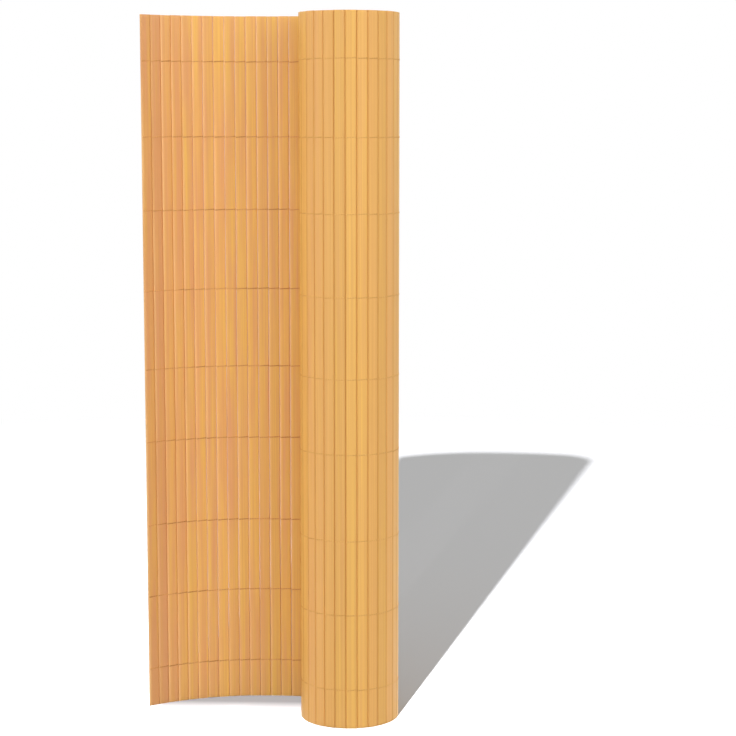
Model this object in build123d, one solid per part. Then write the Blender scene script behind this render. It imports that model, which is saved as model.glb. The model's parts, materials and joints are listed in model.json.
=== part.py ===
"""A PVC privacy screen standing on end, rolled up but for its last third of a metre.

Flat hollow slats stand side by side, and threads bind them into a mat. The mat is wound as a spiral
round an open core, leaves the roll at the back and runs out to the left in a slack bow. Millimetres,
+Z up. The origin is on the floor, in the middle of the screen's footprint.
"""
from build123d import *
import os
from itertools import pairwise
from math import asin, atan, atan2, ceil, cos, degrees, hypot, pi, radians, sin, tau

# One slat: a flat tube with bevelled edges
SCREEN_HEIGHT = 900.0
SLAT_WIDTH = 13.3
SLAT_THICKNESS = 2.7
SLAT_BEVEL = 0.7
SLAT_WALL = 0.45

# The mat: slats side by side over its whole length, with daylight between them
SCREEN_LENGTH = 3000.0
SLAT_GAP = 0.7

# The roll: the clear radius of its core, the room between its turns, and the angle from +X, in degrees,
# at which the mat leaves it
CORE_RADIUS = 25.0
TURN_CLEARANCE = 0.5
LEAVE_ANGLE = 75.5

# The loose end: the length of mat in each bend and the bend's radius, from the roll outwards
LOOSE_BENDS = ((126.0, 500.0), (168.0, 250.0))

# The threads: evenly spread over the height, each a little out of place, lowest first
THREAD_WIDTH = 1.1
THREAD_THICKNESS = 0.45
THREAD_CLEARANCE = 0.05
THREAD_MARGIN = 50.0
THREAD_STRAY = (0.0, -3.0, -8.0, 2.0, -3.0, -1.0, 2.0, -4.0, -8.0)
# Degrees of the roll's outer face that a thread follows
THREAD_WRAP = 300.0
# Length of mat that a slack thread spans at a time, and that has no room for it beside the roll
SLACK_SPAN = 28.0
NIP_LENGTH = 28.0

# Worked out from the values above
HALF_THICKNESS = SLAT_THICKNESS / 2
FLAT_WIDTH = SLAT_WIDTH - 2 * SLAT_BEVEL
SLAT_PITCH = SLAT_WIDTH + SLAT_GAP
LOOSE_SLATS = [round(length / SLAT_PITCH) for length, radius in LOOSE_BENDS]
WOUND_SLATS = round(SCREEN_LENGTH / SLAT_PITCH) - sum(LOOSE_SLATS)
# A flat slat's edges stand further out than its middle, and most of all at the core
CORE_FACE = CORE_RADIUS + SLAT_THICKNESS
EDGE_RISE = hypot(CORE_FACE, FLAT_WIDTH / 2) - CORE_FACE
TURN_PITCH = SLAT_THICKNESS + EDGE_RISE + TURN_CLEARANCE
SPIRAL_START = hypot(CORE_RADIUS + HALF_THICKNESS, SLAT_PITCH / 2)
# A thread drawn straight over several slats stands off the mat by the bow of the tightest bend
SLACK_RISE = (SLACK_SPAN**2 + SLAT_PITCH**2) / 8 / min(radius for length, radius in LOOSE_BENDS)
# Corrections that bring each step along the spiral to one slat pitch
STEP_CORRECTIONS = 6


def polar(radius, angle):
    """The point at a radius and an angle in radians."""
    return Vector(radius * cos(angle), radius * sin(angle))


def spiral_radius(angle):
    """Radius of the mat's middle once it has wound through an angle from the core."""
    return SPIRAL_START + TURN_PITCH * angle / tau


def wound_angles():
    """Angles wound from the core at each gap between slats, one slat pitch apart along the spiral."""
    angles = [0.0]
    for _ in range(WOUND_SLATS):
        angle = angles[-1]
        start = polar(spiral_radius(angle), 0)
        step = SLAT_PITCH / spiral_radius(angle)
        for _ in range(STEP_CORRECTIONS):
            end = polar(spiral_radius(angle + step), step)
            step *= SLAT_PITCH / (end - start).length
        angles.append(angle + step)
    return angles


def mat_line(angles):
    """The gaps in plan, from the core, round the spiral and out along the loose bends."""
    leave = radians(LEAVE_ANGLE)
    line = [polar(spiral_radius(angle), angle - angles[-1] + leave) for angle in angles]
    heading = leave + pi / 2 - atan(TURN_PITCH / tau / spiral_radius(angles[-1]))
    for count, (_, radius) in zip(LOOSE_SLATS, LOOSE_BENDS):
        half_turn = asin(SLAT_PITCH / 2 / radius)
        for _ in range(count):
            heading += half_turn
            line.append(line[-1] + polar(SLAT_PITCH, heading))
            heading += half_turn
    return line


def slat():
    """One slat on the Z axis, standing on its end, with its faces square to Y."""
    cavity_thickness = SLAT_THICKNESS - 2 * SLAT_WALL
    bevel_length = hypot(SLAT_BEVEL, HALF_THICKNESS)
    cavity_inset = (SLAT_WALL * bevel_length + SLAT_BEVEL * cavity_thickness / 2) / HALF_THICKNESS
    outline = Polygon(
        (SLAT_WIDTH / 2, 0),
        (FLAT_WIDTH / 2, HALF_THICKNESS),
        (-FLAT_WIDTH / 2, HALF_THICKNESS),
        (-SLAT_WIDTH / 2, 0),
        (-FLAT_WIDTH / 2, -HALF_THICKNESS),
        (FLAT_WIDTH / 2, -HALF_THICKNESS),
    )
    cavity = Rectangle(SLAT_WIDTH - 2 * cavity_inset, cavity_thickness)
    return extrude(outline - cavity, SCREEN_HEIGHT).solid()


def place_slats(line):
    """All the slats, one between each two neighbouring gaps, from the core outwards."""
    pattern = slat()
    slats = []
    for start, end in pairwise(line):
        along = end - start
        turn = degrees(atan2(along.Y, along.X))
        slats.append(Location((start + end) / 2, (0, 0, turn)) * pattern)
    return slats


def outward(start, end):
    """Direction square to a stretch of the mat, away from the roll."""
    along = (end - start).normalized()
    return Vector(along.Y, -along.X)


def beside(line, distance):
    """A line at that distance on the outer side of another, mitred at its points."""
    normals = [outward(start, end) for start, end in pairwise(line)]
    before = normals[:1] + normals
    after = normals + normals[-1:]
    return [
        point + (first + second) * (distance / (1 + first.dot(second)))
        for point, first, second in zip(line, before, after)
    ]


def slack_points(line, start):
    """Where a slack thread touches a stretch of the mat: from a distance along it, one span at a time."""
    points = []
    for span in range(ceil((SLAT_PITCH * (len(line) - 1) - start) / SLACK_SPAN)):
        slats, share = divmod((start + span * SLACK_SPAN) / SLAT_PITCH, 1)
        here, ahead = line[int(slats)], line[int(slats) + 1]
        points.append(here + (ahead - here) * share)
    return points


def thread(angles, line):
    """One thread on the floor: up the loose end's inner face, round its edge, down its outer face and on
    round the roll."""
    loose = line[WOUND_SLATS:]
    followed = angles[-1] - radians(THREAD_WRAP)
    wrapped = [point for angle, point in zip(angles[:-1], line) if angle > followed]
    inner_line = slack_points(loose, NIP_LENGTH)
    outer_line = wrapped + slack_points(beside(loose, SLACK_RISE), 0)
    free_way = (loose[-1] - loose[-2]).normalized()
    free_edge = loose[-1] - free_way * (SLAT_GAP / 2)

    def one_side(clearance):
        end = [free_edge + free_way * clearance]
        inner = beside(inner_line + end, -HALF_THICKNESS - clearance)
        outer = beside(outer_line + end, HALF_THICKNESS + clearance)
        return inner + outer[::-1]

    outline = one_side(THREAD_CLEARANCE) + one_side(THREAD_CLEARANCE + THREAD_THICKNESS)[::-1]
    return extrude(make_face(Polyline(*outline, close=True)), THREAD_WIDTH).solid()


def thread_heights():
    """Height of the middle of each thread, lowest first."""
    spacing = (SCREEN_HEIGHT - 2 * THREAD_MARGIN) / (len(THREAD_STRAY) - 1)
    return [THREAD_MARGIN + number * spacing + stray for number, stray in enumerate(THREAD_STRAY)]


def screen():
    """The screen's pieces by name: the slats of the loose end, those of each turn from the outermost
    inwards, and the threads."""
    angles = wound_angles()
    line = mat_line(angles)
    slats = place_slats(line)
    nodes = {"loose_end_slats": slats[WOUND_SLATS:]}
    for angle, wound_slat in zip(angles[1:][::-1], slats[:WOUND_SLATS][::-1]):
        turn = 1 + int((angles[-1] - angle) / tau)
        nodes.setdefault(f"turn_{turn}_slats", []).append(wound_slat)
    pattern = thread(angles, line)
    for number, height in enumerate(thread_heights(), start=1):
        nodes[f"binding_thread_{number}"] = [Pos(0, 0, height - THREAD_WIDTH / 2) * pattern]
    return nodes


def export(nodes):
    """Write each node, moved so that the origin is in the middle of the footprint."""
    middle = Compound([solid for solids in nodes.values() for solid in solids]).bounding_box().center()
    os.makedirs("parts", exist_ok=True)
    for name, solids in nodes.items():
        placed = [Pos(-middle.X, -middle.Y, 0) * solid for solid in solids]
        export_step(Compound(placed) if len(placed) > 1 else placed[0], f"parts/{name}.step")


export(screen())
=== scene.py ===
"""Looks of a PVC privacy screen that stands rolled up, with the end of its mat unrolled to the left.

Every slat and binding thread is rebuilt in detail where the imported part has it: hollow slats with rounded
edges that bow a little between the threads, and threads of two strands, one on either face of the mat, that
hook into each other in every gap. Metres, +Z up.
"""
import json
import random
from dataclasses import dataclass
from itertools import combinations
from math import ceil, cos, pi, radians, sin, sqrt, tau

import bmesh
import bpy
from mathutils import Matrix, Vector, noise


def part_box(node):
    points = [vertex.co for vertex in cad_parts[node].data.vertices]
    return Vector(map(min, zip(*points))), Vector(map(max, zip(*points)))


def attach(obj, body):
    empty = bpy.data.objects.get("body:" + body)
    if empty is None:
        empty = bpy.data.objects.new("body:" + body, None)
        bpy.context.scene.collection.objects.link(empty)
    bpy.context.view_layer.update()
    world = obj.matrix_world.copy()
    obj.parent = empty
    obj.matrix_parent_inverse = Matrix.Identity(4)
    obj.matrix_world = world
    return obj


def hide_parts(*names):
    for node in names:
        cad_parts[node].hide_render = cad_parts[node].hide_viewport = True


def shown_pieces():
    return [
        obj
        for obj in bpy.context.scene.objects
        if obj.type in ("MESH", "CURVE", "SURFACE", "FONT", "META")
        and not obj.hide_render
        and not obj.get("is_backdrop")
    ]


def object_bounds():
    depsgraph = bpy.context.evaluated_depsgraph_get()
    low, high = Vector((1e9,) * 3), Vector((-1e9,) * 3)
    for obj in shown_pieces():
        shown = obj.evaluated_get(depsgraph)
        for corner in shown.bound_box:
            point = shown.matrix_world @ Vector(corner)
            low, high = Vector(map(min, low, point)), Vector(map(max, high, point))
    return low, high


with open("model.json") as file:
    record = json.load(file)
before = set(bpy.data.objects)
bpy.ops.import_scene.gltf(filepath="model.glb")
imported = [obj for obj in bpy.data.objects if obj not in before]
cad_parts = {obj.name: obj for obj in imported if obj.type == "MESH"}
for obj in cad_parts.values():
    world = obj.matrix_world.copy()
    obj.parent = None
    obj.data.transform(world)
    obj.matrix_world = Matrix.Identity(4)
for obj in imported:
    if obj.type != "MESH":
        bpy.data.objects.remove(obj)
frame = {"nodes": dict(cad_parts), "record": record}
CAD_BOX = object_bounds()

MM = 0.001
WHITE = (1.0, 1.0, 1.0, 1.0)

# The photo's camera: angles in degrees, the lens in millimetres
CAMERA_PLACE = (0.2135, -2.4467, 0.7606)
CAMERA_YAW = 2.07
CAMERA_PITCH = 7.16
CAMERA_LENS = 94.47

# CAD nodes: the loose end, those whose slats show from outside, and those that show in the core
LOOSE_NODE = "loose_end_slats"
SHOWN_NODES = (LOOSE_NODE, "turn_1_slats")
CORE_NODES = ("turn_9_slats", "turn_10_slats")
# Corners of their meshes that are this close to each other are one
WELD_DISTANCE = 0.001 * MM

# Slats: what a round edge adds to half the width of a bevelled one, on the loose end, on the roll and in the
# core, where the mat bends most, and the further bulge near the loose end's cut ends
LOOSE_SWELL = 0.27 * MM
WOUND_SWELL = 0.32 * MM
CORE_SWELL = 0.24 * MM
END_SWELL = 0.06 * MM
END_REACH = 14 * MM
# Their section, and their rings of points, which crowd towards the cut ends
EDGE_ROUND = 0.9 * MM
EDGE_STEPS = 6
FACE_CROWN = 0.1 * MM
FACE_STEPS = 8
SLAT_WALL = 0.45 * MM
END_CHAMFER = 0.12 * MM
SHARP_ANGLE = radians(50)
SHOWN_RINGS = 56
HIDDEN_RINGS = 3
RING_CROWDING = 0.75

# How far slats stray: between threads in the mat's plane and out of it, their turn, and their cut ends
LOOSE_SWAY = 0.06 * MM
WOUND_SWAY = 0.02 * MM
OUT_SWAY = 0.15 * MM
SWAY_RATE = 8.0
# The share of the sway that is one way over a slat's whole height
LEAN_SHARE = 0.4
TURN_STRAY = radians(0.9)
CUT_STRAY = 0.3 * MM
HOLD_REACH = 28 * MM
STRAY_SEED = 7
# The step through the noise from slat to slat, and the noise's layer for each use
NOISE_STEP = 5.3
WANDER_LAYER = 0.5
BULGE_LAYER = 9.5
HIGHLIGHT_PATCH_LAYER = 4.5

# Tone of a slat: the ranges of its pinkness and mottling
LOOSE_PINKNESS = (0.6, 1.2)
WOUND_PINKNESS = (0.0, 0.5)
LOOSE_MOTTLING = (0.8, 1.2)
WOUND_MOTTLING = (0.1, 0.4)
# Numbers of the loose end's slats over which the tone turns paler, a painted light on the loose end's middle
# that leaves painted shade on the slats at its free edge, and what that takes from the pinkness and adds to
# the lightness
LIT_MIDDLE_SLATS = (2, 5)
LIT_MIDDLE_PINK_LOSS = 0.5
PAINTED_LIGHT_LIFT = 0.8
# Those over which it turns golden and darker towards the roll, a painted shade where the roll shades the mat,
# and the share of its pinkness and the lightness that it loses there
ROLL_SHADE_SLATS = (9, 14)
ROLL_SHADE_PINK_LOSS = 0.8
ROLL_SHADE_DROP = 1.6
# Where the painted shade and the painted highlight on a slat's edge begin and are full, as shares of its half
# width, the painted shade's strength on the loose end, and the painted highlight's mean strength and how fast
# it changes upwards
GROOVE_SHADE_BAND = (0.68, 0.9)
EDGE_HIGHLIGHT_BAND = (0.55, 0.85)
LOOSE_EDGE_SHADE = 0.25
HIGHLIGHT_PATCH_MEAN = 0.75
HIGHLIGHT_PATCH_RATE = 7.0

# Threads: a strand's section, how far it climbs to either side of a slat's middle, and its stray
STRAND_HEIGHT = 1.5 * MM
STRAND_THICKNESS = 0.32 * MM
STRAND_SIDES = 6
STRAND_RISE = 0.3 * STRAND_HEIGHT
STRAND_STRAY = 0.4 * MM
STRAND_STEP = 3.7
STRAND_RATE = 50.0
STRAND_LAYER = 2.5
# Shares of its thickness that are left between turns and in a gap, and shares of its distance from the slats'
# middle over their edges and in a gap
PRESSED = 0.5
HOOKED = 0.2
SHOULDER_OUT = 0.82
HOOK_OUT = -0.1
TWIST_LENGTH = 1.6 * MM

# Maps that the patterns can be baked to. Each slat has a cell there, and so has each short stretch of a
# thread.
# Rows of slats, the bare rim of a cell, and the shares of a slat's cell for its outside, its cavity and each
# cut end
MAP_NAME = "OFBake"
MAP_ROWS = 4
MAP_RIM = 0.02
OUTSIDE_SHARE = 0.86
CAVITY_SHARE = 0.1
CUT_SHARE = 0.04

# Colours, as 8-bit sRGB
HONEY = (248, 194, 92)
PINK = (236, 168, 110)
STREAK = (230, 166, 90)
# A painted highlight for the slats' edges, as of light shining through them on the loose end, and painted
# shade for the grooves between slats
PAINTED_EDGE_HIGHLIGHT = (255, 200, 130)
PAINTED_GROOVE_SHADE = (226, 164, 78)
BROWN, WORN_BROWN = (208, 142, 76), (240, 176, 104)
TAN, WORN_TAN = (230, 170, 90), (246, 190, 106)
# Patterns: features per metre across the slats and up them, and detail
STREAKS = (700.0, 3.0, 3.0)
CLOUDS = (150.0, 6.0, 2.0)
GRAIN = (2600.0, 60.0, 2.0)
WEAR = (30.0, 30.0, 3.0)
# How far a slat's tone shifts its patterns, so that neighbours differ
TONE_SHIFT = (37.0, 53.0, 71.0)
# The part of a noise's range that counts, in soft patterns and in clear ones
SOFT_RANGE = (0.3, 0.7)
CLEAR_RANGE = (0.35, 0.65)
# Slats: the strength of each tone, of the painted edge highlight and of the painted groove shade, what the
# lightness, painted light and shade included, does to the colour, and the surface
CLOUD_STRENGTH = 0.55
STREAK_STRENGTH = 0.55
EDGE_HIGHLIGHT_STRENGTH = 0.9
GROOVE_SHADE_STRENGTH = 0.55
LIGHTNESS_RANGE = (-1.0, 2.0)
LIGHTNESS_FACTOR = (0.86, 1.13)
SLAT_ROUGHNESS = (0.42, 0.56)
GRAIN_BUMP = {"Strength": 0.2, "Distance": 0.05 * MM}
# Yarn: the shade between its plies, the wave texture's scale for one band to a unit, and the surface
PLY_SHADE = (0.9, 0.88, 0.85, 1.0)
ONE_BAND = 0.314
YARN_ROUGHNESS = (0.85, 0.65)
PLY_BUMP = {"Strength": 0.3, "Distance": 0.1 * MM}

# The floor: greys where it shows, in the contact shadow, and for the light that it throws back
FLOOR_REACH = 30.0
FLOOR_GREY = 0.58
CONTACT_GREY = 0.172
BOUNCE_GREY = 0.12
# Where it turns white: by distance from the origin, and in front of the screen
SHADOW_REACH = (2.2, 2.6)
FRONT_REACH = (-0.15, -0.4)
# The contact shadow: how near a slat is to count, its soft sides and front, and how open the floor is where
# it begins and is full
CONTACT_REACH = 0.1
CONTACT_EDGE = 0.02
CONTACT_FRONT = (-0.01, 0.042)
CONTACT_OPENNESS = (0.93, 0.72)

# Light
KEY_PLACE = (-1.04, -5.8, 3.6)
KEY_POWER = 8000.0
KEY_COLOUR = (1.0, 1.01, 1.06)
KEY_RADIUS = 0.04
FILL_PLACE = (1.15, -1.1, 1.45)
FILL_AIM = (0.05, 0.0, 0.6)
FILL_SIZE = 0.6
FILL_POWER = 2.2
# The sky: where its bright band ends and the rest begins, the strengths of both, and the factors away from
# and towards its bright side
SKY_BAND = (0.08, 0.32)
SKY_STRENGTH = (1.22, 0.4)
BRIGHT_SIDE = (-0.5, -0.87, 0.0)
SIDE_FACTOR = (1.3, 2.25)

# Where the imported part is
core_low, core_high = frame["record"]["physics"]["openings"][0]["box_m"]
ROLL_AXIS = (Vector(core_low).to_2d() + Vector(core_high).to_2d()) / 2
ROLL_RADIUS = CAD_BOX[1].x - ROLL_AXIS.x
SCREEN_HEIGHT = CAD_BOX[1].z
SLAT_NODES = [name for name in frame["nodes"] if name.endswith("_slats")]
THREAD_NODES = [name for name in frame["nodes"] if name.startswith("binding_thread")]
THREAD_HEIGHTS = {name: sum(corner.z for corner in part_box(name)) / 2 for name in THREAD_NODES}


@dataclass
class Slat:
    """One slat in plan: its middle, the way along the mat to the core, the way outwards, half its width and
    half its thickness, and its number from the mat's free edge."""
    node: str
    middle: Vector
    corewards: Vector
    outwards: Vector
    half_width: float
    half_thickness: float
    number: int = 0


def solids_in_plan(node):
    """The corners, in plan, of each solid of a CAD node, sorted so that every run rounds alike."""
    mesh = bmesh.new()
    mesh.from_mesh(frame["nodes"][node].data)
    bmesh.ops.remove_doubles(mesh, verts=mesh.verts, dist=WELD_DISTANCE)
    unseen = set(mesh.verts)
    solids = []
    while unseen:
        solid = [unseen.pop()]
        for vertex in solid:
            neighbours = {edge.other_vert(vertex) for edge in vertex.link_edges} & unseen
            unseen -= neighbours
            solid += neighbours
        corners = [vertex.co.to_2d() for vertex in solid if vertex.co.z < SCREEN_HEIGHT / 2]
        solids.append(sorted(corners, key=tuple))
    mesh.free()
    return solids


def slat_from(node, corners):
    """A slat from the corners of its solid: the two that are furthest apart are its edges."""
    one, other = max(combinations(corners, 2), key=lambda pair: (pair[1] - pair[0]).length)
    across = (other - one).normalized()
    middle = (one + other) / 2
    outwards = Vector((-across.y, across.x))
    half_thickness = max(outwards.dot(corner - middle) for corner in corners)
    return Slat(node, middle, across, outwards, (other - one).length / 2, half_thickness)


def mat_slats():
    """All slats in order, from the mat's free edge to the core."""
    slats = [slat_from(node, corners) for node in SLAT_NODES for corners in solids_in_plan(node)]
    slats.sort(key=lambda slat: -(slat.middle - ROLL_AXIS).length)
    for number, slat in enumerate(slats):
        before, after = slats[max(number - 1, 0)], slats[min(number + 1, len(slats) - 1)]
        if slat.corewards.dot(after.middle - before.middle) < 0:
            slat.corewards = -slat.corewards
        slat.outwards = Vector((-slat.corewards.y, slat.corewards.x))
        slat.number = number
    return slats


def add_object(name, data):
    """A new object in the scene for a mesh, lamp or camera."""
    item = bpy.data.objects.new(name, data)
    bpy.context.scene.collection.objects.link(item)
    return item


def place_piece(mesh, node, slot, material):
    """Put a mesh in the place of a CAD node."""
    mesh.materials.append(material)
    piece = add_object(node.replace("_slats", "_boards") if slot == "slats" else node + "_strands", mesh)
    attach(piece, "root")
    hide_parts(node)


def reached(value, span):
    """How far a value has come through a span, from 0 at its start to 1 at its end."""
    return min(max((value - span[0]) / (span[1] - span[0]), 0.0), 1.0)


def slat_outline(half_width, half_thickness, edge_round, crown):
    """A slat's section, anticlockwise, as points across it and outwards: crowned faces and round edges."""
    flat = half_width - edge_round
    points = []
    for side in (1, -1):
        for step in range(EDGE_STEPS + 1):
            angle = pi * (step / EDGE_STEPS - 0.5)
            across = flat + edge_round * cos(angle)
            points.append((side * across, side * half_thickness * sin(angle)))
        for step in range(1, FACE_STEPS):
            share = 1 - 2 * step / FACE_STEPS
            points.append((side * share * flat, side * (half_thickness + crown * (1 - share**2))))
    return points


def edge_swell(node):
    """What a round edge adds to half the width of a node's slats."""
    if node == LOOSE_NODE:
        return LOOSE_SWELL
    return CORE_SWELL if node in CORE_NODES else WOUND_SWELL


def freedom(height):
    """How free a slat is to stray: 0 where a thread holds it, 1 well away from the threads."""
    nearest = min(abs(height - held) for held in THREAD_HEIGHTS.values())
    share = min(nearest / HOLD_REACH, 1)
    return share * share * (3 - 2 * share)


def slat_rings(slat, strays):
    """A slat's sections from the floor up, each a pair of loops of points: the outside and the cavity."""
    shown = slat.node in SHOWN_NODES
    loose_end = slat.node == LOOSE_NODE
    low = strays.uniform(0, CUT_STRAY)
    high = SCREEN_HEIGHT - strays.uniform(0, CUT_STRAY)
    lean = strays.uniform(-1, 1)
    turn = strays.uniform(-TURN_STRAY, TURN_STRAY)
    end_swell = strays.uniform(0, END_SWELL if loose_end else 0)
    corewards = slat.corewards * cos(turn) + slat.outwards * sin(turn)
    outwards = slat.outwards * cos(turn) - slat.corewards * sin(turn)
    side_sway = LOOSE_SWAY if loose_end else WOUND_SWAY

    def outline(inset, height):
        near_end = max(1 - min(height - low, high - height) / END_REACH, 0)
        half_width = slat.half_width + edge_swell(slat.node) + end_swell * near_end**2 - inset
        return slat_outline(half_width, slat.half_thickness - inset, EDGE_ROUND - inset, FACE_CROWN)

    count = SHOWN_RINGS if shown else HIDDEN_RINGS
    shares = [step / count for step in range(count + 1)]
    shares = [share - RING_CROWDING * sin(tau * share) / tau for share in shares]
    inner_heights = [low + END_CHAMFER + (high - low - 2 * END_CHAMFER) * share for share in shares]
    rings = []
    for height in (low, *inner_heights, high):
        loose = freedom(height) if shown else 0
        wander = noise.noise((slat.number * NOISE_STEP, height * SWAY_RATE, WANDER_LAYER))
        bulge = noise.noise((slat.number * NOISE_STEP, height * SWAY_RATE, BULGE_LAYER))
        sway = LEAN_SHARE * lean + (1 - LEAN_SHARE) * wander
        middle = slat.middle + slat.corewards * loose * side_sway * sway
        middle = middle + slat.outwards * loose * OUT_SWAY * bulge
        chamfer = END_CHAMFER if height in (low, high) else 0
        loops = [outline(inset, height) for inset in (chamfer, SLAT_WALL)]
        rings.append([
            [(*(middle + corewards * across + outwards * out), height) for across, out in loop]
            for loop in loops
        ])
    return rings


def in_cell(cell, columns, rows, across, upwards):
    """A place on a map of cells in rows, from its place in one cell."""
    row, column = divmod(cell, columns)
    inside = 1 - 2 * MAP_RIM
    return (column + MAP_RIM + inside * across) / columns, (row + MAP_RIM + inside * upwards) / rows


def slat_faces(heights, points, first):
    """Faces of one slat, and the place of each of their corners in its cell of the map.

    The slat's points are numbered from the first, ring by ring and loop by loop."""
    faces, places = [], []
    last = len(heights) - 1

    def add(corners, cut=None):
        faces.append([first + (2 * ring + loop) * points + point % points for ring, loop, point in corners])
        for ring, loop, point in corners:
            across = OUTSIDE_SHARE * point / points
            upwards = CUT_SHARE + (1 - 2 * CUT_SHARE) * heights[ring] / SCREEN_HEIGHT
            if loop == 1 and cut is None:
                across = 1 - CAVITY_SHARE * point / points
            elif loop == 1:
                upwards = cut
            places.append((across, upwards))

    for point in range(points):
        after = point + 1
        for ring in range(last):
            above = ring + 1
            add([(ring, 0, point), (ring, 0, after), (above, 0, after), (above, 0, point)])
            add([(ring, 1, after), (ring, 1, point), (above, 1, point), (above, 1, after)])
        add([(0, 0, after), (0, 0, point), (0, 1, point), (0, 1, after)], cut=0.0)
        add([(last, 0, point), (last, 0, after), (last, 1, after), (last, 1, point)], cut=1.0)
    return faces, places


def slat_tone(slat, strays):
    """A slat's pinkness, lightness and mottling: its own random tone, with painted light on the loose end's
    middle and painted shade at its free edge and towards the roll.
    """
    loose = slat.node == LOOSE_NODE
    # Painted shade towards the roll and painted light on the loose end's middle, by the slat's number
    roll_shade = reached(slat.number, ROLL_SHADE_SLATS) if loose else 0.0
    pale = reached(slat.number, LIT_MIDDLE_SLATS) if loose else 0.0
    pinkness = strays.uniform(*(LOOSE_PINKNESS if loose else WOUND_PINKNESS)) - LIT_MIDDLE_PINK_LOSS * pale
    lightness = strays.random() + PAINTED_LIGHT_LIFT * pale - ROLL_SHADE_DROP * roll_shade
    mottling = strays.uniform(*(LOOSE_MOTTLING if loose else WOUND_MOTTLING))
    return pinkness * (1 - ROLL_SHADE_PINK_LOSS * roll_shade), lightness, mottling


def painted_edge_light(slat, heights):
    """The painted light and shade on the edges at each point of a slat, from -1, painted shade, to 1, painted
    highlight.

    On the roll both edges get painted shade, as in the grooves between slats. On the loose end the one
    towards the mat's free edge gets a painted highlight, in patches, and the other a little painted shade."""
    outline = slat_outline(1.0, 1.0, EDGE_ROUND / slat.half_width, 0.0)
    tones = []
    for height in heights:
        # Patches in which the painted highlight is stronger or weaker
        highlight_patch = noise.noise((slat.number * NOISE_STEP, height * HIGHLIGHT_PATCH_RATE, HIGHLIGHT_PATCH_LAYER))
        paleness = min(max(HIGHLIGHT_PATCH_MEAN + highlight_patch, 0.0), 1.0)
        for across, _ in outline * 2:
            if slat.node != LOOSE_NODE:
                tones.append(-reached(abs(across), GROOVE_SHADE_BAND))
            elif across < 0:
                tones.append(paleness * reached(-across, EDGE_HIGHLIGHT_BAND))
            else:
                tones.append(-LOOSE_EDGE_SHADE * reached(across, GROOVE_SHADE_BAND))
    return tones


def make_slats(node, slats, material, strays):
    """All slats of a node as one piece, each with its own tone, with painted light and shade in it and on the
    edges.
    """
    vertices, faces, tones, edge_highlights_and_shades, spots = [], [], [], [], []
    columns = ceil(len(slats) / MAP_ROWS)
    for cell, slat in enumerate(slats):
        rings = slat_rings(slat, strays)
        heights = [ring[0][0][2] for ring in rings]
        added_faces, places = slat_faces(heights, len(rings[0][0]), len(vertices))
        faces += added_faces
        for place in places:
            spots += in_cell(cell, columns, MAP_ROWS, *place)
        added = [point for ring in rings for loop in ring for point in loop]
        vertices += added
        # The tone holds painted light and shade by slat number, and the edge attribute painted highlight and
        # shade
        tones += slat_tone(slat, strays) * len(added)
        edge_highlights_and_shades += painted_edge_light(slat, heights)
    mesh = bpy.data.meshes.new(node)
    mesh.from_pydata(vertices, [], faces)
    mesh.uv_layers.new(name=MAP_NAME).data.foreach_set("uv", spots)
    mesh.attributes.new("tone", "FLOAT_VECTOR", "POINT").data.foreach_set("vector", tones)
    mesh.attributes.new("edge", "FLOAT", "POINT").data.foreach_set("value", edge_highlights_and_shades)
    mesh.shade_smooth()
    mesh.set_sharp_from_angle(angle=SHARP_ANGLE)
    place_piece(mesh, node, "slats", material)


def strand_points(chain, way, height, side, pressed_side):
    """Points of one strand over a chain of slats, each with the share of its thickness that is left there.

    The strand keeps to one side of the slats and hooks round the other strand in every gap. Way is 1 if the
    chain runs to the core."""
    points = []
    pitch = (chain[1].middle - chain[0].middle).length
    for slat in chain:
        forwards = slat.corewards * way
        share = PRESSED if side == pressed_side and slat.node != LOOSE_NODE else 1.0
        stand_off = slat.half_thickness + FACE_CROWN + STRAND_THICKNESS * share / 2
        stray = STRAND_STRAY * noise.noise((slat.number * STRAND_STEP, height * STRAND_RATE, STRAND_LAYER))
        flat = slat.half_width - EDGE_ROUND
        stops = (
            (-flat, 1.0, share), (0.0, 1.0, share), (flat, 1.0, share),
            (slat.half_width, SHOULDER_OUT, share), (pitch / 2, HOOK_OUT, HOOKED),
        )
        for ahead, out_share, left in stops:
            place = slat.middle + forwards * ahead + slat.outwards * (side * stand_off * out_share)
            lift = stray - side * STRAND_RISE * 2 * ahead / pitch
            points.append((Vector((*place, height + lift)), left))
    return points


def thread_points(chain, way, height, pressed_side):
    """Points of a whole thread: along one strand to the chain's start, round that edge and back."""
    edge = chain[0]
    round_edge = edge.middle - edge.corewards * (way * (edge.half_width + STRAND_THICKNESS / 2))
    there = strand_points(chain, way, height, -1, pressed_side)
    back = strand_points(chain, way, height, 1, pressed_side)
    return there[::-1], [(Vector((*round_edge, height)), 1.0)] + back


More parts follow.
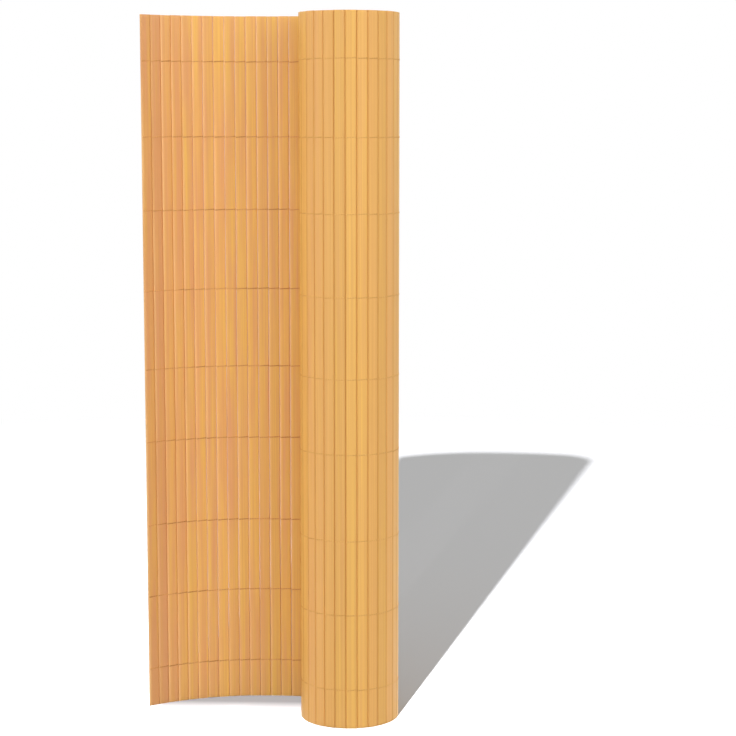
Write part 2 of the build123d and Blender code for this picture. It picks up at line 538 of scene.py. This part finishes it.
def add_tube(points, vertices, faces, twists, cells):
    """A flat tube along points. At each face corner it has the distance along and around it, and a cell of
    the map with the place in it."""
    first = len(vertices)
    first_cell = cells[-1][0] + 1 if cells else 0
    places = [place for place, _ in points]
    distance = 0.0
    along = []
    for number, (place, share) in enumerate(points):
        before, after = places[max(number - 1, 0)], places[min(number + 1, len(places) - 1)]
        distance += (place - before).length
        along.append(distance)
        heading = (after - before).normalized()
        aside = heading.cross((0, 0, 1)).normalized()
        upwards = aside.cross(heading)
        for step in range(STRAND_SIDES):
            angle = tau * step / STRAND_SIDES
            across = aside * (cos(angle) * STRAND_THICKNESS * share / 2)
            vertices.append(place + across + upwards * (sin(angle) * STRAND_HEIGHT / 2))
    for ring in range(len(points) - 1):
        low = first + ring * STRAND_SIDES
        here, ahead = along[ring], along[ring + 1]
        cell = first_cell + ring
        for step in range(STRAND_SIDES):
            after = (step + 1) % STRAND_SIDES
            faces.append((low + step, low + after, low + STRAND_SIDES + after, low + STRAND_SIDES + step))
            around, further = step / STRAND_SIDES, (step + 1) / STRAND_SIDES
            twists += [here, around, here, further, ahead, further, ahead, around]
            cells += [(cell, 0.0, around), (cell, 0.0, further), (cell, 1.0, further), (cell, 1.0, around)]
    for ring, turned in ((0, -1), (len(points) - 1, 1)):
        low = first + ring * STRAND_SIDES
        faces.append(tuple(range(low, low + STRAND_SIDES))[::turned])
        twists += [along[ring], 0.0] * STRAND_SIDES
        cell = cells[-1][0] + 1
        for step in range(STRAND_SIDES)[::turned]:
            angle = tau * step / STRAND_SIDES
            cells.append((cell, (1 + cos(angle)) / 2, (1 + sin(angle)) / 2))


def make_thread(node, slats, material):
    """One thread where it shows: on the loose end, round the outermost turn and in the core."""
    outer = [slat for slat in slats if slat.node in SHOWN_NODES]
    core = [slat for slat in slats[::-1] if slat.node in CORE_NODES]
    vertices, faces, twists, cells, paleness = [], [], [], [], []
    for chain, way, pressed_side in ((outer, 1, -1), (core, -1, 1)):
        for pale, points in enumerate(thread_points(chain, way, THREAD_HEIGHTS[node], pressed_side)):
            add_tube(points, vertices, faces, twists, cells)
            paleness += [float(pale)] * (len(vertices) - len(paleness))
    mesh = bpy.data.meshes.new(node)
    mesh.from_pydata(vertices, [], faces)
    mesh.uv_layers.new(name="twist").data.foreach_set("uv", twists)
    side = ceil(sqrt(cells[-1][0] + 1))
    spots = [share for cell, *place in cells for share in in_cell(cell, side, side, *place)]
    mesh.uv_layers.new(name=MAP_NAME).data.foreach_set("uv", spots)
    mesh.attributes.new("pale", "FLOAT", "POINT").data.foreach_set("value", paleness)
    mesh.shade_smooth()
    place_piece(mesh, node, "threads", material)


def linear(colour):
    """A colour given as 8-bit sRGB, as the shader takes it."""
    def channel(value):
        share = value / 255
        return share / 12.92 if share <= 0.04045 else ((share + 0.055) / 1.055) ** 2.4

    return (*map(channel, colour), 1.0)


def grey(value):
    """A grey, as the shader takes it."""
    return (value, value, value, 1.0)


def new_material(name):
    """A new material and its node tree."""
    material = bpy.data.materials.new(name)
    material.use_nodes = True
    return material, material.node_tree


def add_node(tree, kind, inputs=None, **settings):
    """A new node with its settings, and its inputs as values or as sockets to link."""
    node = tree.nodes.new(kind)
    for name, value in settings.items():
        setattr(node, name, value)
    for name, value in (inputs or {}).items():
        if isinstance(value, bpy.types.NodeSocket):
            tree.links.new(value, node.inputs[name])
        else:
            node.inputs[name].default_value = value
    return node


def combine(tree, operation, *values):
    """The result of a math node."""
    return add_node(tree, "ShaderNodeMath", dict(enumerate(values)), operation=operation).outputs[0]


def combine_vectors(tree, operation, *values):
    """The results of a vector math node, by name."""
    return add_node(tree, "ShaderNodeVectorMath", dict(enumerate(values)), operation=operation).outputs


def attribute(tree, name):
    """The results of an attribute node, by name."""
    return add_node(tree, "ShaderNodeAttribute", attribute_name=name).outputs


def mix_colours(tree, share, one, other, blend="MIX"):
    """The colour socket of a mix of two colours."""
    node = add_node(tree, "ShaderNodeMix", {0: share, 6: one, 7: other}, data_type="RGBA", blend_type=blend)
    return node.outputs[2]


def remap(tree, value, span, new_span=(0.0, 1.0)):
    """A value's span moved to another, and held at its ends."""
    inputs = {"Value": value, "From Min": span[0], "From Max": span[1]}
    inputs |= {"To Min": new_span[0], "To Max": new_span[1]}
    return add_node(tree, "ShaderNodeMapRange", inputs).outputs[0]


def stretched_noise(tree, pattern, shift=None):
    """A noise drawn out along the slats: features per metre across them and up them, and detail."""
    across, upwards, detail = pattern
    place = add_node(tree, "ShaderNodeTexCoord").outputs["Object"]
    scaled = add_node(tree, "ShaderNodeMapping", {"Vector": place, "Scale": (across, across, upwards)})
    vector = scaled.outputs[0]
    if shift:
        vector = combine_vectors(tree, "ADD", vector, shift)["Vector"]
    inputs = {"Vector": vector, "Scale": 1.0, "Detail": detail}
    return add_node(tree, "ShaderNodeTexNoise", inputs).outputs["Fac"]


def slat_material():
    """Satin PVC in honey tones: each slat a little yellower or pinker, with lengthwise streaks, with a
    painted highlight and painted shade on its edges, and painted light and shade across the loose end.
    """
    material, tree = new_material("satin_pvc")
    shader = tree.nodes["Principled BSDF"]
    tone = attribute(tree, "tone")["Vector"]
    # The edge attribute: painted highlight above 0, painted shade below 0
    edge = attribute(tree, "edge")["Fac"]
    own_pinkness, own_and_painted_lightness, mottling = add_node(tree, "ShaderNodeSeparateXYZ", {0: tone}).outputs
    shift = combine_vectors(tree, "MULTIPLY", tone, TONE_SHIFT)["Vector"]
    streaks = stretched_noise(tree, STREAKS, shift)
    clouds = stretched_noise(tree, CLOUDS, shift)
    grain = stretched_noise(tree, GRAIN)
    cloud_pinkness = remap(tree, clouds, SOFT_RANGE, (-CLOUD_STRENGTH, CLOUD_STRENGTH))
    pinkness = combine(tree, "MULTIPLY_ADD", cloud_pinkness, mottling, own_pinkness)
    hue = mix_colours(tree, pinkness, linear(HONEY), linear(PINK))
    streak_share = remap(tree, streaks, CLEAR_RANGE, (0.0, STREAK_STRENGTH))
    streaked = mix_colours(tree, streak_share, hue, linear(STREAK))
    # Painted highlight on the loose end's edges and painted shade in the grooves between slats
    highlight_share = remap(tree, edge, (0.0, 1.0), (0.0, EDGE_HIGHLIGHT_STRENGTH))
    highlighted = mix_colours(tree, highlight_share, streaked, linear(PAINTED_EDGE_HIGHLIGHT))
    groove_shade_share = remap(tree, edge, (0.0, -1.0), (0.0, GROOVE_SHADE_STRENGTH))
    with_edge_light = mix_colours(tree, groove_shade_share, highlighted, linear(PAINTED_GROOVE_SHADE))
    # The lightness holds painted light on the loose end's middle and painted shade at its free edge and
    # towards the roll
    lightness = remap(tree, own_and_painted_lightness, LIGHTNESS_RANGE, LIGHTNESS_FACTOR)
    colour = add_node(tree, "ShaderNodeVectorMath", {0: with_edge_light, "Scale": lightness}, operation="SCALE")
    tree.links.new(colour.outputs[0], shader.inputs["Base Color"])
    tree.links.new(remap(tree, streaks, SOFT_RANGE, SLAT_ROUGHNESS), shader.inputs["Roughness"])
    bump = add_node(tree, "ShaderNodeBump", {"Height": grain, **GRAIN_BUMP})
    tree.links.new(bump.outputs[0], shader.inputs["Normal"])
    return material


def thread_material():
    """Brown twisted yarn."""
    material, tree = new_material("brown_yarn")
    shader = tree.nodes["Principled BSDF"]
    twist = add_node(tree, "ShaderNodeUVMap", uv_map="twist").outputs[0]
    plies = add_node(tree, "ShaderNodeMapping", {"Vector": twist, "Scale": (1 / TWIST_LENGTH, 1.0, 1.0)})
    inputs = {"Vector": plies.outputs[0], "Scale": ONE_BAND}
    bands = add_node(tree, "ShaderNodeTexWave", inputs, wave_type="BANDS", bands_direction="DIAGONAL")
    wave = bands.outputs["Fac"]
    worn = remap(tree, stretched_noise(tree, WEAR), CLEAR_RANGE)
    brown = mix_colours(tree, worn, linear(BROWN), linear(WORN_BROWN))
    tan = mix_colours(tree, worn, linear(TAN), linear(WORN_TAN))
    ply = mix_colours(tree, attribute(tree, "pale")["Fac"], brown, tan)
    shaded = mix_colours(tree, 1.0, ply, PLY_SHADE, "MULTIPLY")
    colour = mix_colours(tree, wave, shaded, ply)
    tree.links.new(colour, shader.inputs["Base Color"])
    tree.links.new(remap(tree, wave, (0.0, 1.0), YARN_ROUGHNESS), shader.inputs["Roughness"])
    bump = add_node(tree, "ShaderNodeBump", {"Height": wave, **PLY_BUMP})
    tree.links.new(bump.outputs[0], shader.inputs["Normal"])
    return material


def shown_rays(tree):
    """1 for a ray that shows the background to the camera, by itself or in a gloss, and 0 for the others."""
    rays = add_node(tree, "ShaderNodeLightPath").outputs
    seen = combine(tree, "MAXIMUM", rays["Is Camera Ray"], rays["Is Glossy Ray"])
    return combine(tree, "MAXIMUM", seen, rays["Is Transmission Ray"])


def contact_shadow(tree, parts):
    """The contact shadow's share of the floor, in the hollow of the loose end, from the parts of a place."""
    free_edge = CAD_BOX[0].x
    roll_left = ROLL_AXIS.x - ROLL_RADIUS
    past_edge = remap(tree, parts["X"], (free_edge, free_edge + CONTACT_EDGE))
    before_roll = remap(tree, parts["X"], (roll_left + CONTACT_EDGE, roll_left))
    under_sheet = combine(tree, "MULTIPLY", before_roll, past_edge)
    hollow = combine(tree, "MULTIPLY", under_sheet, remap(tree, parts["Y"], CONTACT_FRONT))
    openness = add_node(tree, "ShaderNodeAmbientOcclusion", {"Distance": CONTACT_REACH}).outputs["AO"]
    return combine(tree, "MULTIPLY", hollow, remap(tree, openness, CONTACT_OPENNESS))


def floor_material():
    """Pale paint that shows white in front of the screen and beyond its shadow."""
    material, tree = new_material("pale_floor")
    tree.nodes.remove(tree.nodes["Principled BSDF"])
    shown = shown_rays(tree)
    place = add_node(tree, "ShaderNodeTexCoord").outputs["Object"]
    parts = add_node(tree, "ShaderNodeSeparateXYZ", {0: place}).outputs
    shaded = mix_colours(tree, contact_shadow(tree, parts), grey(FLOOR_GREY), grey(CONTACT_GREY))
    colour = mix_colours(tree, shown, grey(BOUNCE_GREY), shaded)
    diffuse = add_node(tree, "ShaderNodeBsdfDiffuse", {"Color": colour}).outputs[0]
    far = remap(tree, combine_vectors(tree, "LENGTH", place)["Value"], SHADOW_REACH)
    clear = combine(tree, "MAXIMUM", far, remap(tree, parts["Y"], FRONT_REACH))
    white_share = combine(tree, "MULTIPLY", clear, shown)
    white = add_node(tree, "ShaderNodeEmission", {"Color": WHITE, "Strength": 1.0}).outputs[0]
    mixed = add_node(tree, "ShaderNodeMixShader", {0: white_share, 1: diffuse, 2: white})
    tree.links.new(mixed.outputs[0], tree.nodes["Material Output"].inputs["Surface"])
    return material


def make_floor():
    """A wide pale floor."""
    mesh = bpy.data.meshes.new("floor")
    corners = [(x * FLOOR_REACH, y * FLOOR_REACH, 0) for x, y in ((-1, -1), (1, -1), (1, 1), (-1, 1))]
    mesh.from_pydata(corners, [], [(0, 1, 2, 3)])
    mesh.materials.append(floor_material())
    floor = add_object("floor", mesh)
    floor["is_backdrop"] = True
    return floor


def light_world():
    """A white background, and soft light that is brighter towards the horizon and on one side."""
    world = bpy.data.worlds.new("studio")
    bpy.context.scene.world = world
    world.use_nodes = True
    tree = world.node_tree
    direction = add_node(tree, "ShaderNodeTexCoord").outputs["Generated"]
    parts = add_node(tree, "ShaderNodeSeparateXYZ", {0: direction}).outputs
    band = remap(tree, parts["Z"], SKY_BAND, SKY_STRENGTH)
    ahead = combine_vectors(tree, "DOT_PRODUCT", direction, BRIGHT_SIDE)["Value"]
    strength = combine(tree, "MULTIPLY", band, remap(tree, ahead, (-1.0, 1.0), SIDE_FACTOR))
    soft = add_node(tree, "ShaderNodeBackground", {"Color": WHITE, "Strength": strength}).outputs[0]
    white = tree.nodes["Background"]
    white.inputs["Color"].default_value = WHITE
    mixed = add_node(tree, "ShaderNodeMixShader", {0: shown_rays(tree), 1: soft, 2: white.outputs[0]})
    tree.links.new(mixed.outputs[0], tree.nodes["World Output"].inputs["Surface"])


def light_only(lamp, objects):
    """Link a lamp to the objects that it lights."""
    lit = bpy.data.collections.new(lamp.name + "_lights")
    for piece in objects:
        lit.objects.link(piece)
    lamp.light_linking.receiver_collection = lit


def light_floor(floor):
    """A lamp for the floor alone, whose shadow falls back and to the right."""
    lamp = bpy.data.lights.new("key", "POINT")
    lamp.energy = KEY_POWER
    lamp.color = KEY_COLOUR
    lamp.shadow_soft_size = KEY_RADIUS
    key = add_object("key", lamp)
    key.location = KEY_PLACE
    light_only(key, [floor])


def light_fill():
    """A soft lamp from the right and above, for the screen alone, so that the floor has one shadow."""
    lamp = bpy.data.lights.new("fill", "AREA")
    lamp.size = FILL_SIZE
    lamp.energy = FILL_POWER
    fill = add_object("fill", lamp)
    fill.location = FILL_PLACE
    fill.rotation_euler = (Vector(FILL_AIM) - Vector(FILL_PLACE)).to_track_quat("-Z", "Y").to_euler()
    light_only(fill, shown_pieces())


def place_camera():
    """The camera at the photo's viewing angle."""
    camera = add_object("camera", bpy.data.cameras.new("camera"))
    camera.location = CAMERA_PLACE
    camera.rotation_euler = (radians(90 - CAMERA_PITCH), 0, radians(CAMERA_YAW))
    camera.data.lens = CAMERA_LENS
    bpy.context.scene.camera = camera


def build_screen():
    """Every piece of the screen."""
    slats = mat_slats()
    strays = random.Random(STRAY_SEED)
    pvc, yarn = slat_material(), thread_material()
    for node in SLAT_NODES:
        make_slats(node, [slat for slat in slats if slat.node == node], pvc, strays)
    for node in THREAD_NODES:
        make_thread(node, slats, yarn)


build_screen()
floor = make_floor()
light_world()
light_floor(floor)
light_fill()
place_camera()
bpy.context.scene.view_settings.view_transform = "Standard"
